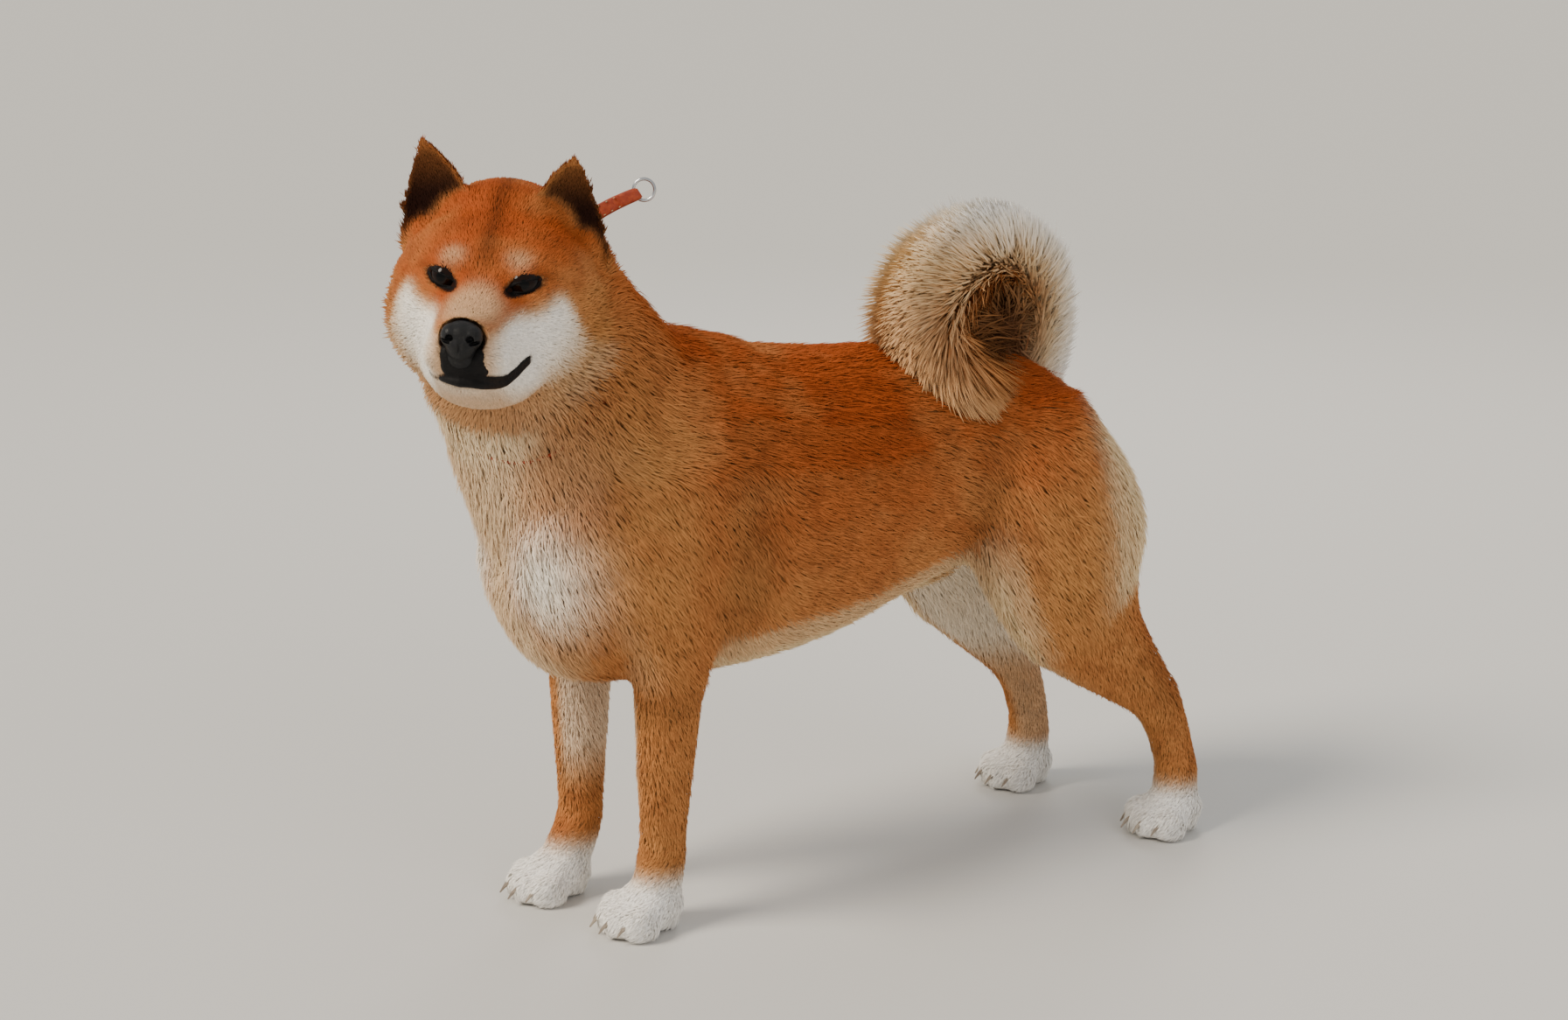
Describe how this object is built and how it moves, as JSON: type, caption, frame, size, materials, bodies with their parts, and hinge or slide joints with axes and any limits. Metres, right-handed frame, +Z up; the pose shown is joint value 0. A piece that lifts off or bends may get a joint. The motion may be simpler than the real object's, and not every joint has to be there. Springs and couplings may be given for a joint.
{
  "type": "shiba inu dog",
  "caption": "Still life-size model of a red shiba inu dog standing square, head turned to its left, tail curled over the back, with a leather collar and a steel ring on it.",
  "frame": {"origin": "on the floor, under the middle of the bounding box", "axes": "+X to the dog's left, +Y towards its tail, +Z up; the trunk runs along Y and the head is turned towards +X"},
  "size_m": [0.2224, 0.6048, 0.5208],
  "materials": {
    "red_coat": "dense short fur, red",
    "cream_coat": "dense short fur, cream",
    "nose_leather": "black, finely pebbled, moist sheen",
    "eye": "dark brown, polished",
    "claw": "dark horn, smooth",
    "collar_leather": "red-brown, worn smooth",
    "ring_steel": "bright steel wire"
  },
  "bodies": {
    "root": {"collar": "collar_leather", "collar_ring": "ring_steel", "head": "red_coat", "left_ear": "red_coat", "left_eye": "eye", "left_fore_claw_1": "claw", "left_fore_claw_2": "claw", "left_fore_claw_3": "claw", "left_fore_claw_4": "claw", "left_forearm": "red_coat", "left_forepaw": "cream_coat", "left_gaskin": "red_coat", "left_hind_claw_1": "claw", "left_hind_claw_2": "claw", "left_hind_claw_3": "claw", "left_hind_claw_4": "claw", "left_hindpaw": "cream_coat", "left_rear_pastern": "red_coat", "left_shoulder": "red_coat", "left_thigh": "red_coat", "neck": "red_coat", "nose": "nose_leather", "right_ear": "red_coat", "right_eye": "eye", "right_fore_claw_1": "claw", "right_fore_claw_2": "claw", "right_fore_claw_3": "claw", "right_fore_claw_4": "claw", "right_forearm": "red_coat", "right_forepaw": "cream_coat", "right_gaskin": "red_coat", "right_hind_claw_1": "claw", "right_hind_claw_2": "claw", "right_hind_claw_3": "claw", "right_hind_claw_4": "claw", "right_hindpaw": "cream_coat", "right_rear_pastern": "red_coat", "right_shoulder": "red_coat", "right_thigh": "red_coat", "tail_1": "cream_coat", "tail_2": "cream_coat", "tail_3": "cream_coat", "tail_4": "cream_coat", "torso": "red_coat"}
  },
  "joints": []
}
